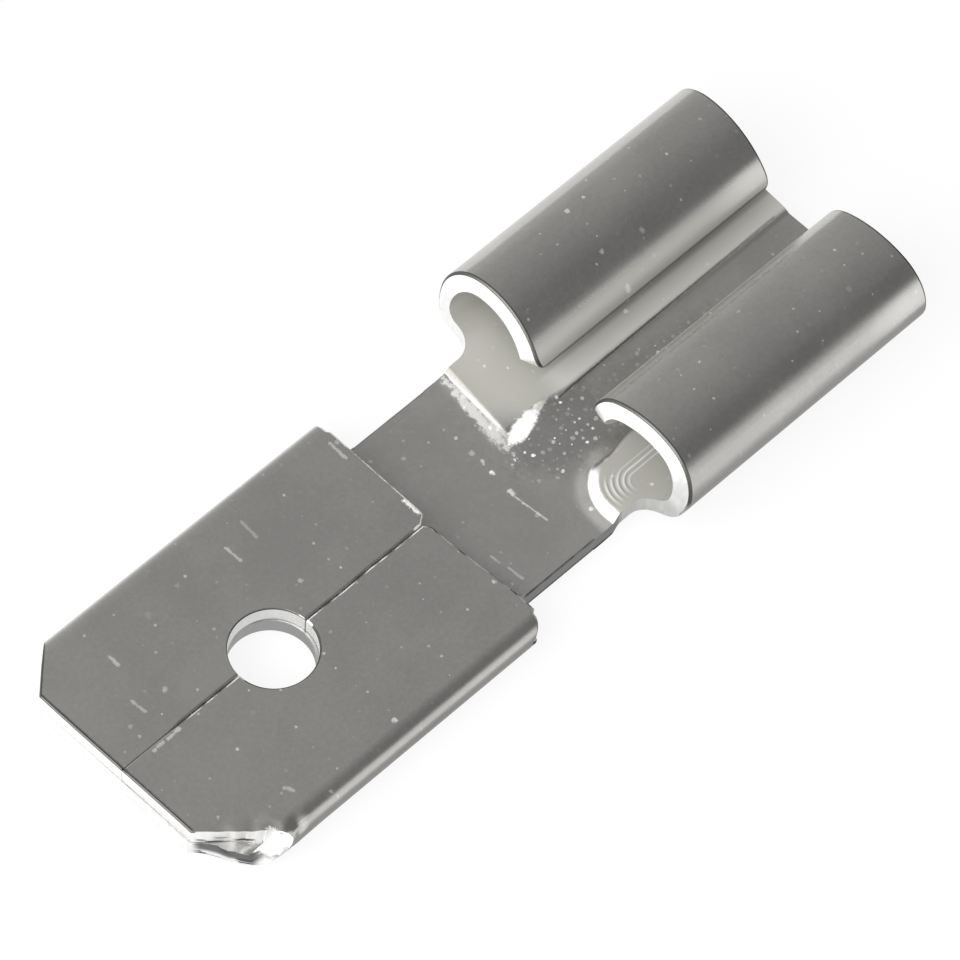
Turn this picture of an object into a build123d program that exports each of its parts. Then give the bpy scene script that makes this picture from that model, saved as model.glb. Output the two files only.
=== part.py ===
from build123d import *
from dataclasses import dataclass
from math import atan, atan2, cos, degrees, radians, sin, tan
import os

# In-line spade terminal, folded and curled from one piece of sheet metal.
# Frame: X runs from the tip of the male tab to the mouth of the receptacle,
# Y is the width, Z is up, and z = 0 is the flat underside of the sheet.
# Lengths are millimetres and angles are degrees.

# Sheet
sheet_thickness = 0.39
layer_gap = 0.02

# Male tab: two leaves folded over the base layer, meeting at a seam
tab_width = 6.3
tab_length = 8.1
tab_tip_chamfer = 0.95
seam_gap = 0.06
leaf_corner_radius = 0.25
hole_diameter = 1.74
hole_from_tip = 3.9

# Neck between the tab and the receptacle
neck_width = 4.7
neck_length = 2.32

# Ramps from the neck up to the wings: a gentle toe, a steep crease, a run out
toe_length = 0.3
toe_lift = 0.15
crease_length = 0.1
crease_lift = 0.5
run_out_length = 0.4

# Receptacle: its middle stands a little to the left of the neck's, and a
# riser lifts each wing off the flat land
receptacle_length = 8.2
receptacle_width = 6.85
receptacle_offset = 0.12
riser_width = 0.174
riser_height = 0.091

# Left roll: its wing turns up at the side, over the shoulder and the crown,
# and in again at the lip. The radii are those of the outside face.
left_land_y = 0.476
left_wing_angle = 6.8
left_side_radius = 0.73
left_shoulder_radius = 1.04
left_shoulder_turn = 80
left_crown_radius = 1.73
left_crown_turn = 67
left_lip_radius = 0.5
left_lip_turn = 62
left_lip_corner_radius = 0.6

# Right roll: a narrower wing, and a lip that turns further in
right_land_y = 1.126
right_wing_angle = 8
right_side_radius = 0.75
right_shoulder_radius = 1.07
right_shoulder_turn = 71.3
right_crown_radius = 2.12
right_crown_turn = 41.5
right_lip_radius = 0.79
right_lip_turn = 100
right_lip_corner_radius = 0.8

# Front edges of the rolls, which lean back from the neck
front_setback = 1.24
front_lean = 0.17
neck_corner_radius = 0.5

# Tab sizes that follow from the ones above
tab_thickness = 2 * sheet_thickness + layer_gap
fold_radius = tab_thickness / 2
fold_y = tab_width / 2 - fold_radius
leaf_underside = sheet_thickness + layer_gap

# Neck and ramp sizes that follow from the ones above
floor_top = sheet_thickness
neck_y = neck_width / 2
neck_end = tab_length + neck_length
toe_end = neck_end + toe_length
crease_end = toe_end + crease_length
ramp_end = crease_end + run_out_length
ramp_stations = ((neck_end, 0), (toe_end, toe_lift), (crease_end, crease_lift), (ramp_end, 1))


def topside(y, z, rise_before, rise_after):
    """Point of the top face above a bend of the underside at (y, z)."""
    middle = (rise_before + rise_after) / 2
    reach = sheet_thickness / cos((rise_after - rise_before) / 2)
    return y - reach * sin(middle), z + reach * cos(middle)


@dataclass
class Roll:
    """One side of the receptacle's section, from the land's edge to the lip."""

    side: int
    land_y: float
    side_y: float
    wing_angle: float
    side_radius: float
    shoulder: tuple
    crown: tuple
    lip: tuple
    lip_corner_radius: float

    def __post_init__(self):
        rise = radians(self.wing_angle)
        riser_rise = atan2(riser_height, riser_width)
        self.foot = (self.land_y, 0)
        self.head = (self.land_y + riser_width, riser_height)
        across = self.side_y - self.head[0] - self.side_radius * (1 - sin(rise))
        self.wing_end = (self.head[0] + across, self.head[1] + across * tan(rise))
        self.foot_top = topside(*self.foot, 0, riser_rise)
        self.head_top = topside(*self.head, riser_rise, rise)
        self.wing_end_top = topside(*self.wing_end, rise, rise)
        self.neck_under = self.head[1] + (neck_y - self.head[0]) * tan(rise)
        self.neck_top = self.head_top[1] + (neck_y - self.head_top[0]) * tan(rise)

    def rolled_line(self, inset):
        """Draw one face from the end of the wing to the lip, and return the lip's point."""
        rise = radians(self.wing_angle)
        y, z = self.wing_end_top if inset else self.wing_end
        point = (self.side * y, z)
        tangent = (self.side * cos(rise), sin(rise))
        bends = ((self.side_radius, 90 - self.wing_angle), self.shoulder, self.crown, self.lip)
        for radius, turn in bends:
            bend = JernArc(point, tangent, radius - inset, self.side * turn)
            point = bend @ 1
            tangent = bend % 1
        return point

    def floor_line(self):
        """Points of the floor from the wing's end underneath to the wing's end on top."""
        points = [
            self.wing_end,
            self.head,
            self.foot,
            (0, 0),
            (0, floor_top),
            self.foot_top,
            self.head_top,
            self.wing_end_top,
        ]
        return [(self.side * y, z) for y, z in points]

    def ramp_outline(self, lift):
        """Section of the ramp, flat like the neck at lift 0 and raised at lift 1."""
        flat_and_raised = [
            (self.foot_top[0], floor_top, floor_top),
            (self.head_top[0], floor_top, self.head_top[1]),
            (neck_y, floor_top, self.neck_top),
            (neck_y, 0, self.neck_under),
            (self.head[0], 0, self.head[1]),
            (self.foot[0], 0, 0),
            (self.foot_top[0], 0, 0),
        ]
        return [(self.side * y, flat + lift * (high - flat)) for y, flat, high in flat_and_raised]


left = Roll(
    side=1,
    land_y=left_land_y,
    side_y=receptacle_width / 2 + receptacle_offset,
    wing_angle=left_wing_angle,
    side_radius=left_side_radius,
    shoulder=(left_shoulder_radius, left_shoulder_turn),
    crown=(left_crown_radius, left_crown_turn),
    lip=(left_lip_radius, left_lip_turn),
    lip_corner_radius=left_lip_corner_radius,
)
right = Roll(
    side=-1,
    land_y=right_land_y,
    side_y=receptacle_width / 2 - receptacle_offset,
    wing_angle=right_wing_angle,
    side_radius=right_side_radius,
    shoulder=(right_shoulder_radius, right_shoulder_turn),
    crown=(right_crown_radius, right_crown_turn),
    lip=(right_lip_radius, right_lip_turn),
    lip_corner_radius=right_lip_corner_radius,
)


def front_x(z):
    """Where the front edge of a roll stands at the height z."""
    return neck_end + front_setback + front_lean * z


with BuildPart() as terminal:
    # Receptacle as one constant section: land, risers, wings and rolls
    with BuildSketch(Plane.YZ.offset(ramp_end)):
        for roll in (left, right):
            with BuildLine():
                Line(roll.rolled_line(0), roll.rolled_line(sheet_thickness))
                Polyline(*roll.floor_line())
            make_face()
    extrude(amount=neck_end + receptacle_length - ramp_end)

    # Front of the rolls above the floor, cut back to the leaning edge
    lip_z = min(left.rolled_line(0).Y, right.rolled_line(0).Y)
    trim_z = (max(left.neck_top, right.neck_top) + lip_z) / 2
    cut_reach = receptacle_width
    lean_direction = (front_lean, 0, 1)
    with BuildSketch(Plane.XY.offset(trim_z)):
        with Locations((neck_end, 0)):
            Rectangle(front_x(trim_z) - neck_end, 2 * cut_reach, align=(Align.MIN, Align.CENTER))
    extrude(amount=cut_reach, dir=lean_direction, mode=Mode.SUBTRACT)

    # Front of the rolls beside the neck, with a rounded inner corner
    with BuildSketch(Plane.XY):
        with Locations((neck_end, neck_y)):
            Rectangle(front_x(0) - neck_end, cut_reach, align=Align.MIN)
        neck_corner = vertices().sort_by_distance((front_x(0), neck_y))[0]
        fillet(neck_corner, radius=neck_corner_radius)
        mirror(about=Plane.XZ)
    extrude(amount=cut_reach, dir=lean_direction, mode=Mode.SUBTRACT)

    # Front corners of the two lips, rounded off between the edge and the lip
    lean_angle = atan(front_lean)
    for roll in (left, right):
        radius = roll.lip_corner_radius
        centre_z = roll.rolled_line(0).Y + radius
        edge_z = centre_z + radius * sin(lean_angle)
        centre_x = front_x(edge_z) + radius * cos(lean_angle)
        with BuildSketch(Plane.XZ):
            with BuildLine():
                corner = CenterArc(
                    (centre_x, centre_z),
                    radius,
                    180 - degrees(lean_angle),
                    90 + degrees(lean_angle),
                )
                Polyline(
                    corner @ 1,
                    (centre_x, trim_z),
                    (neck_end, trim_z),
                    (neck_end, edge_z),
                    corner @ 0,
                )
            make_face()
        extrude(amount=neck_y, dir=(0, roll.side, 0), mode=Mode.SUBTRACT)

    # Ramps that lift the sides of the floor from the neck to the wings
    for roll in (left, right):
        for x, lift in ramp_stations:
            with BuildSketch(Plane.YZ.offset(x)):
                with BuildLine():
                    Polyline(*roll.ramp_outline(lift), close=True)
                make_face()
        loft(ruled=True)

    # Neck, with the start of the land between the ramps
    with BuildSketch(Plane.XY):
        with Locations((tab_length + neck_length / 2, 0)):
            Rectangle(neck_length, neck_width)
        with Locations((neck_end, -right.foot_top[0])):
            Rectangle(
                ramp_end - neck_end,
                left.foot_top[0] + right.foot_top[0],
                align=Align.MIN,
            )
    extrude(amount=sheet_thickness)

    # Male tab: base layer, folded edges and the two leaves
    with BuildSketch(Plane.YZ):
        with BuildLine():
            seam_y = seam_gap / 2
            Line((0, 0), (fold_y, 0))
            CenterArc((fold_y, fold_radius), fold_radius, -90, 180)
            Polyline(
                (fold_y, tab_thickness),
                (seam_y, tab_thickness),
                (seam_y, leaf_underside),
                (fold_y, leaf_underside),
            )
            CenterArc((fold_y, fold_radius), layer_gap / 2, -90, 180)
            Polyline((fold_y, sheet_thickness), (0, sheet_thickness), (0, 0))
        make_face()
        mirror(about=Plane.YZ)
    extrude(amount=tab_length)

    # Chamfered corners of the tab's tip
    with BuildSketch(Plane.XY):
        with BuildLine():
            Polyline(
                (0, tab_width / 2),
                (tab_tip_chamfer, tab_width / 2),
                (0, tab_width / 2 - tab_tip_chamfer),
                close=True,
            )
        make_face()
        mirror(about=Plane.XZ)
    extrude(amount=tab_thickness, mode=Mode.SUBTRACT)

    # Rounded rear corners of the leaves, on both sides of the seam
    with BuildSketch(Plane.XY.offset(sheet_thickness + layer_gap / 2)):
        with BuildLine():
            corner_x = tab_length - leaf_corner_radius
            corner_y = seam_y + leaf_corner_radius
            CenterArc((corner_x, corner_y), leaf_corner_radius, -90, 90)
            Polyline((tab_length, corner_y), (tab_length, seam_y), (corner_x, seam_y))
        make_face()
        mirror(about=Plane.XZ)
    extrude(amount=tab_thickness, mode=Mode.SUBTRACT)

    # Hole for a receptacle's detent, through both layers
    with Locations((hole_from_tip, 0, 0)):
        Hole(hole_diameter / 2)

terminal.part.label = "terminal"

os.makedirs("parts", exist_ok=True)
export_step(terminal.part, "parts/terminal.step")
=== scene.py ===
"""Looks of an in-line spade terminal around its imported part.

The terminal is one sheet of tinned brass. Its outside face is modelled as the press makes it,
in millimetres: a flat floor, a neck and a blade, wings that curl into two rolls, and two edges
folded back over the blade. The sheet then gets its thickness, its hole and its rounded edges,
and the finished piece is brought to metres.
"""

import logging
import math
from dataclasses import dataclass, field
from enum import Enum
from typing import Any, Callable, Iterable, Optional, Union

import bmesh
import bpy
from mathutils import Matrix, Vector, noise


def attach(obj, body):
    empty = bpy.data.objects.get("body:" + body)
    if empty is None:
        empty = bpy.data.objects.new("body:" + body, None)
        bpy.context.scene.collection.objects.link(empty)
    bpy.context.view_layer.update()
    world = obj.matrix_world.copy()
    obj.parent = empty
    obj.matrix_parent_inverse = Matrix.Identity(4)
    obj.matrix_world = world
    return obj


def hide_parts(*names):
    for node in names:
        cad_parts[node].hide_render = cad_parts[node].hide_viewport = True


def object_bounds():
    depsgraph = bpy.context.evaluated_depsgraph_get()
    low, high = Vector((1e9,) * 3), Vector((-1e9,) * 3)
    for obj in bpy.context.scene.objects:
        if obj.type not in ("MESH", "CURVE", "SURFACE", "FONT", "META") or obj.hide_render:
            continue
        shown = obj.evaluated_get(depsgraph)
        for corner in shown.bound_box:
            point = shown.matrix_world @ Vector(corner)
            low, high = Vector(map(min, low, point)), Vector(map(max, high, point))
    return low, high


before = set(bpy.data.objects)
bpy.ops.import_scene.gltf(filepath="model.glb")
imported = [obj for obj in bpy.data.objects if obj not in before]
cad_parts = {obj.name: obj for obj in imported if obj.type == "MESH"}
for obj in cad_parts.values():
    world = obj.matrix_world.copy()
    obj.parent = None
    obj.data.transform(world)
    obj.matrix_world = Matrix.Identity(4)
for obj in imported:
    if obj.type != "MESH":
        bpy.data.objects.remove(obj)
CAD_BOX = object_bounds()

log = logging.getLogger("terminal")

MM = 0.001
ON_LINE = 1e-4
SHARP_ANGLE = math.radians(48)
SMOOTH_ANGLE = math.radians(35)

Place = Callable[[Vector], bool]
Colour = tuple[float, float, float]
Point = tuple[float, float]
Number = Union[int, float]


class Side(Enum):
    """The two sides of the terminal, by the sign of Y."""

    LEFT = 1
    RIGHT = -1


class Take(Enum):
    """Which elements of a mesh a selection takes."""

    RIM = "open edges"
    SHARP = "sharp edges"
    FACES = "faces"


class Slot(Enum):
    """The material slots of the terminal, by their place on the mesh."""

    FACE = 0
    CUT = 1
    INSIDE = 2
    ROUND = 3


def smooth_step(value: float, low: float, high: float) -> float:
    """Rise softly from 0 at low to 1 at high."""
    share = min(max((value - low) / (high - low), 0.0), 1.0)
    return share * share * (3 - 2 * share)


def rounding(distance: float, radius: float) -> float:
    """How far a rounded corner stands back from its square one, at a distance along its side."""
    if distance >= radius:
        return 0.0
    reach = radius - max(distance, 0.0)
    return radius - math.sqrt(radius * radius - reach * reach)


class Bench:
    """A modelling bench that holds one mesh and works on its selected parts."""

    def __init__(self, name: str) -> None:
        """Start an empty piece and put it on the bench in edit mode.

        Args:
            name: The name of the new piece.
        """
        if bpy.context.object and bpy.context.object.mode != "OBJECT":
            bpy.ops.object.mode_set(mode="OBJECT")
        bpy.ops.object.select_all(action="DESELECT")
        self.piece = bpy.data.objects.new(name, bpy.data.meshes.new(name))
        bpy.context.scene.collection.objects.link(self.piece)
        self.take_up()
        bpy.ops.object.mode_set(mode="EDIT")

    def take_up(self) -> None:
        """Make the piece the only selected object."""
        bpy.ops.object.select_all(action="DESELECT")
        self.piece.select_set(True)
        bpy.context.view_layer.objects.active = self.piece

    def put_in_order(self) -> None:
        """Number the points and faces by where they are, so that each run goes alike."""
        mode = self.piece.mode
        bpy.ops.object.mode_set(mode="OBJECT")
        sheet = self.piece.data
        places = [tuple(point.co) for point in sheet.vertices]
        ranked = sorted(range(len(places)), key=places.__getitem__)
        numbers = {old: new for new, old in enumerate(ranked)}
        faces = []
        for face in sheet.polygons:
            ring = [numbers[old] for old in face.vertices]
            first = ring.index(min(ring))
            faces.append((ring[first:] + ring[:first], face.material_index))
        faces.sort()
        sheet.clear_geometry()
        sheet.from_pydata([places[old] for old in ranked], [], [ring for ring, _ in faces])
        for face, (_, slot) in zip(sheet.polygons, faces):
            face.material_index = slot
        bpy.ops.object.mode_set(mode=mode)

    def select(self, take: Take, place: Place, side: Optional[Slot] = None) -> int:
        """Select the elements whose middle passes a test, and nothing else.

        Args:
            take: Whether open edges, sharp edges or faces are taken.
            place: A test on the middle of each element.
            side: Which side of the sheet an edge must be on, if any.

        Returns:
            How many elements were selected.
        """
        self.put_in_order()
        bpy.ops.mesh.select_mode(type="FACE" if take is Take.FACES else "EDGE")
        bpy.ops.mesh.select_all(action="DESELECT")
        shape = bmesh.from_edit_mesh(self.piece.data)
        if take is Take.FACES:
            found = [f for f in shape.faces if place(f.calc_center_median())]
        else:
            wanted = self.is_open if take is Take.RIM else self.is_sharp
            found = [
                e
                for e in shape.edges
                if wanted(e)
                and place((e.verts[0].co + e.verts[1].co) / 2)
                and (side is None or any(f.material_index == side.value for f in e.link_faces))
            ]
        for element in found:
            element.select_set(True)
        bmesh.update_edit_mesh(self.piece.data)
        return len(found)

    @staticmethod
    def is_open(edge: bmesh.types.BMEdge) -> bool:
        """Whether only one face holds an edge."""
        return edge.is_boundary

    @staticmethod
    def is_sharp(edge: bmesh.types.BMEdge) -> bool:
        """Whether two faces meet at an edge in a sharp corner."""
        return edge.is_manifold and edge.calc_face_angle() > SHARP_ANGLE

    def extrude(self, step: Vector, rows: int = 1) -> None:
        """Extrude the selected edges along a straight way.

        Args:
            step: The whole way in millimetres.
            rows: How many equal rows it is divided into.
        """
        for _ in range(rows):
            bpy.ops.mesh.extrude_edges_move(
                TRANSFORM_OT_translate={"value": tuple(step / rows)}
            )

    def spin(self, centre: Vector, degrees: float, rows: int) -> None:
        """Spin the selected edges about an axis along X.

        Args:
            centre: A point of the axis.
            degrees: The turn, positive from +Z towards +Y.
            rows: How many rows the turn is divided into.
        """
        bpy.ops.mesh.spin(
            steps=rows, angle=math.radians(degrees), center=tuple(centre), axis=(1, 0, 0)
        )

    def cut_off(self, place: Place, point: Vector, outward: Vector, snap: float) -> None:
        """Cut the faces of one place along a plane and drop what lies outside it.

        Args:
            place: A test on the middle of each face that may be cut.
            point: A point of the plane.
            outward: The direction of the waste.
            snap: How near the plane a point is moved onto it, which avoids slivers.
        """
        outward = outward.normalized()

        def on_plane(at: Vector) -> Vector:
            off = (at - point).dot(outward)
            if not place(at) or abs(off) > snap:
                return at
            at -= off * outward
            at.x = max(at.x, 0.0)
            return at

        self.press(on_plane)
        self.select(Take.FACES, place)
        bpy.ops.mesh.bisect(
            plane_co=tuple(point),
            plane_no=tuple(outward),
            clear_outer=True,
            threshold=ON_LINE,
        )

    def refine(self, place: Place, cuts: int) -> None:
        """Divide the faces of one place more finely.

        Args:
            place: A test on the middle of each face.
            cuts: How many cuts each edge gets.
        """
        self.select(Take.FACES, place)
        bpy.ops.mesh.subdivide(number_cuts=cuts, quadcorner="INNERVERT")

    def press(self, form: Callable[[Vector], Vector]) -> None:
        """Press every point of the mesh to where a function puts it.

        Args:
            form: Gives the new place of a point from its old one.
        """
        shape = bmesh.from_edit_mesh(self.piece.data)
        for point in shape.verts:
            point.co = form(point.co.copy())
        bmesh.update_edit_mesh(self.piece.data)

    def round_off(self, place: Place, side: Slot, width: float) -> None:
        """Round the sharp edges of one place off, as shearing leaves them.

        Args:
            place: A test on the middle of each edge.
            side: Which side of the sheet the edges are on.
            width: How wide the rounding is.
        """
        found = self.select(Take.SHARP, place, side)
        bpy.ops.mesh.bevel(
            offset=width, segments=3, affect="EDGES", clamp_overlap=True, material=Slot.ROUND.value
        )
        log.info("rounded %d edges off", found)

    def finish_with(self, kind: str, **settings: Any) -> None:
        """Add a modifier to the piece and apply it.

        Args:
            kind: The type of the modifier.
            settings: Its settings by name.
        """
        modifier = self.piece.modifiers.new(kind.lower(), kind)
        for name, value in settings.items():
            setattr(modifier, name, value)
        bpy.ops.object.modifier_apply(modifier=modifier.name)


@dataclass(frozen=True)
class Bend:
    """One bend of the sheet, measured on its outside face."""

    radius: float
    degrees: float


class Folder:
    """Carries an edge of the sheet outward through flats and bends, as a bending tool does."""

    FLAT_ROW = 0.15
    BEND_ROW = 0.07

    def __init__(self, bench: Bench, side: Side, start: Point) -> None:
        """Take hold of the edges that are selected on the bench.

        Args:
            bench: The bench with the edges selected.
            side: The side of the terminal that the edges face.
            start: How far the edges are from the middle plane, and their height.
        """
        self.bench = bench
        self.side = side
        self.y, self.z = start
        self.rise = 0.0
        self.line: list[Vector] = [Vector((self.y, self.z))]

    def flat(self, length: float) -> None:
        """Extend the sheet by a flat of this length."""
        rows = max(1, round(length / self.FLAT_ROW))
        self.rows([length / rows] * rows)

    def rows(self, lengths: Iterable[float]) -> None:
        """Extend the sheet by flat rows of these lengths."""
        angle = math.radians(self.rise)
        for length in lengths:
            across = length * math.cos(angle)
            up = length * math.sin(angle)
            self.bench.extrude(Vector((0, self.side.value * across, up)))
            self.y += across
            self.z += up
            self.line.append(Vector((self.y, self.z)))

    def bend(self, bend: Bend) -> None:
        """Extend the sheet by one bend, which turns up where its angle is positive."""
        turn = math.copysign(1, bend.degrees)
        angle = math.radians(self.rise)
        centre_y = self.y - turn * bend.radius * math.sin(angle)
        centre_z = self.z + turn * bend.radius * math.cos(angle)
        length = bend.radius * math.radians(abs(bend.degrees))
        rows = max(4, round(length / self.BEND_ROW))
        centre = Vector((0, self.side.value * centre_y, centre_z))
        self.bench.spin(centre, -self.side.value * bend.degrees, rows)
        for row in range(1, rows + 1):
            angle = math.radians(self.rise + bend.degrees * row / rows)
            self.y = centre_y + turn * bend.radius * math.sin(angle)
            self.z = centre_z - turn * bend.radius * math.cos(angle)
            self.line.append(Vector((self.y, self.z)))
        self.rise += bend.degrees


class Tape:
    """A tape laid along the outside of a roll, which tells how far round it a point is."""

    def __init__(self, line: list[Vector]) -> None:
        """Lay the tape.

        Args:
            line: The points of the section, each a distance from the middle and a height.
        """
        self.line = line
        self.marks = [0.0]
        for before, after in zip(line, line[1:]):
            self.marks.append(self.marks[-1] + (after - before).length)

    def read(self, point: Vector) -> float:
        """Read the tape at the section point nearest to a point of the mesh."""
        across = Vector((abs(point.y), point.z))
        nearest = min(range(len(self.line)), key=lambda k: (self.line[k] - across).length)
        return self.marks[nearest]


@dataclass(frozen=True)
class Roll:
    """One roll of the receptacle, from the foot of its riser to its tip."""

    side: Side
    land_edge: float
    wing_angle: float
    wing_length: float
    bends: tuple[Bend, ...]
    tip_corner_radius: float
    rear_setback: float
    riser_angle: float = 38.0
    riser_length: float = 0.08
    crease_radius: float = 0.1
    neck_corner_radius: float = 0.5
    neck_corner_rows: int = 6

    def bend_up(self, bench: Bench, neck_y: float) -> Tape:
        """Bend the wing and the roll up from the selected edge of the land.

        Args:
            bench: The bench with the land's edge selected.
            neck_y: Where a row of points is kept, in line with the side of the neck.

        Returns:
            A tape along the roll, which starts at the side of the neck.
        """
        folder = Folder(bench, self.side, (self.land_edge, 0.0))
        folder.bend(Bend(self.crease_radius, self.riser_angle))
        folder.flat(self.riser_length)
        folder.bend(Bend(self.crease_radius, self.wing_angle - self.riser_angle))
        to_neck = (neck_y - folder.y) / math.cos(math.radians(self.wing_angle))
        folder.flat(to_neck)
        at_neck = len(folder.line) - 1
        beyond = self.wing_length - to_neck
        corner = [
            self.neck_corner_radius * (1 - math.cos(math.pi / 2 * row / self.neck_corner_rows))
            for row in range(self.neck_corner_rows + 1)
        ]
        stops = [stop for stop in corner if stop < beyond - self.crease_radius / 2] + [beyond]
        folder.rows(after - before for before, after in zip(stops, stops[1:]))
        for bend in self.bends:
            folder.bend(bend)
        log.info("roll %s ends %.2f mm out, %.2f mm up", self.side.name, folder.y, folder.z)
        return Tape(folder.line[at_neck:])

    def crease_top(self, outer: Vector, inner: Vector, sheet: float) -> Vector:
        """Give the top point over the riser's creases, where the top face has a plain corner.

        Args:
            outer: A point of the bottom face.
            inner: The point above it that the thickness gives.
            sheet: The thickness of the sheet.

        Returns:
            The corner where the point would pass it, or else the point as it was.
        """
        rise = math.radians(self.riser_angle)
        from_foot = abs(outer.y) - self.land_edge
        foot_end = self.crease_radius * math.sin(rise)
        head_y = 2 * foot_end + self.riser_length * math.cos(rise)
        head_z = self.riser_length * math.sin(rise) + self.crease_radius * (1 - 2 * math.cos(rise))
        top_radius = self.crease_radius + sheet
        turn = math.acos((sheet - head_z) / top_radius)
        corner_y = self.land_edge + head_y - top_radius * math.sin(turn)
        in_foot = -ON_LINE < from_foot < foot_end + ON_LINE
        in_riser = foot_end < from_foot < head_y + 0.1 and abs(inner.y) < corner_y
        if in_foot or in_riser:
            return Vector((inner.x, self.side.value * corner_y, sheet))
        return inner


@dataclass(frozen=True)
class Receptacle:
    """The female end: a flat land with a wing and a roll on each side of it."""

    start: float = 11.3
    end: float = 18.62
    rows: int = 60
    land_rows: int = 11
    front: float = 11.66
    front_lean: float = 0.17
    rear_corner_radius: float = 0.12
    neck_corner_radius: float = 0.5
    end_column: float = 0.3
    left: Roll = Roll(
        Side.LEFT,
        land_edge=0.476,
        wing_angle=6.8,
        wing_length=2.267,
        bends=(Bend(0.73, 83.2), Bend(1.04, 80.0), Bend(1.73, 67.0), Bend(0.5, 62.0)),
        tip_corner_radius=0.62,
        rear_setback=0.17,
    )
    right: Roll = Roll(
        Side.RIGHT,
        land_edge=1.126,
        wing_angle=8.0,
        wing_length=1.37,
        bends=(Bend(0.75, 82.0), Bend(1.07, 71.3), Bend(2.12, 41.5), Bend(0.79, 100.0)),
        tip_corner_radius=0.8,
        rear_setback=0.03,
    )

    def form(self, bench: Bench, neck_y: float) -> None:
        """Lay the land down, bend both rolls up from it and trim their ends.

        Args:
            bench: A bench with nothing on it.
            neck_y: Half the width of the neck.
        """
        low = -self.right.land_edge
        high = self.left.land_edge
        bpy.ops.mesh.primitive_grid_add(
            x_subdivisions=self.rows, y_subdivisions=self.land_rows, size=1
        )
        bpy.ops.transform.resize(value=(self.end - self.start, high - low, 1))
        bpy.ops.transform.translate(
            value=((self.start + self.end) / 2, (low + high) / 2, 0)
        )
        tapes = {}
        for roll in (self.left, self.right):
            edge_y = roll.side.value * roll.land_edge
            bench.select(Take.RIM, lambda p: abs(p.y - edge_y) < ON_LINE)
            tapes[roll] = roll.bend_up(bench, neck_y)

        def trim(point: Vector) -> Vector:
            roll = self.left if point.y > 0 else self.right
            if abs(point.y) < neck_y + ON_LINE and point.z < tapes[roll].line[0].y + 0.1:
                return point
            return self.trimmed(point, roll, tapes[roll])

        bench.press(trim)

    def trimmed(self, point: Vector, roll: Roll, tape: Tape) -> Vector:
        """Move a point of a roll along X so that the roll's ends have their real outline.

        Args:
            point: The point on the square-ended roll.
            roll: The roll.
            tape: The tape along that roll.

        Returns:
            The point between the front edge and the rear edge.
        """
        from_neck = tape.read(point)
        from_tip = tape.marks[-1] - from_neck
        front = self.front + self.front_lean * point.z
        square = front - self.start
        front -= rounding(from_neck, self.neck_corner_radius) * square / self.neck_corner_radius
        front += rounding(from_tip, roll.tip_corner_radius)
        rear = self.end - roll.rear_setback * smooth_step(from_neck, 0.2, tape.marks[-1])
        rear -= rounding(from_tip, self.rear_corner_radius)
        step = 1 / self.rows
        share = (point.x - self.start) / (self.end - self.start)
        wide = self.end_column / (rear - front)
        inner = min(max((share - step) / (1 - 2 * step), 0.0), 1.0)
        if share < step / 2:
            point.x = front
        elif share > 1 - step / 2:
            point.x = rear
        else:
            point.x = front + (wide + inner * (1 - 2 * wide)) * (rear - front)
        return point


@dataclass(frozen=True)
class StraightCrease:
    """A crease of the floor that runs straight across, a little slanted."""

    x: float
    slant: float

    def ahead(self, x: float, y: float) -> float:
        """How far past the crease a point is, y being its distance from the middle plane."""
        return x - self.x - self.slant * y


@dataclass(frozen=True)
class RoundCrease:
    """A crease of the floor that follows a circle and ends along the land."""

    x: float
    y: float
    radius: float
    turn_out: float = 0.6

    def ahead(self, x: float, y: float) -> float:
        """How far past the crease a point is, y being its distance from the middle plane."""
        short_x = max(self.x - x, 0.0)
        short_y = max(self.y - y, 0.0) * smooth_step(short_x, 0, self.turn_out)
        return self.radius - math.hypot(short_x, short_y)


@dataclass(frozen=True)
class Ramp:
    """The way from the neck up to one wing: a gentle toe, a steep step and a run out."""

    crease: Union[StraightCrease, RoundCrease]
    toe_length: float
    toe_share: float
    step_length: float
    step_share: float
    run_out: float

    def lift(self, x: float, y: float) -> float:
        """How far the floor is raised, from 0 on the neck to 1 in the receptacle.

        Args:
            x: The place along the terminal.
            y: The distance from the middle plane.
        """
        ahead = self.crease.ahead(x, y)
        toe = self.toe_share * smooth_step(ahead, -self.toe_length, 0.02)
        step = self.step_share * smooth_step(ahead, 0, self.step_length)
        rest = 1 - self.toe_share - self.step_share
        return toe + step + rest * smooth_step(ahead, 0, self.run_out)


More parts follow.
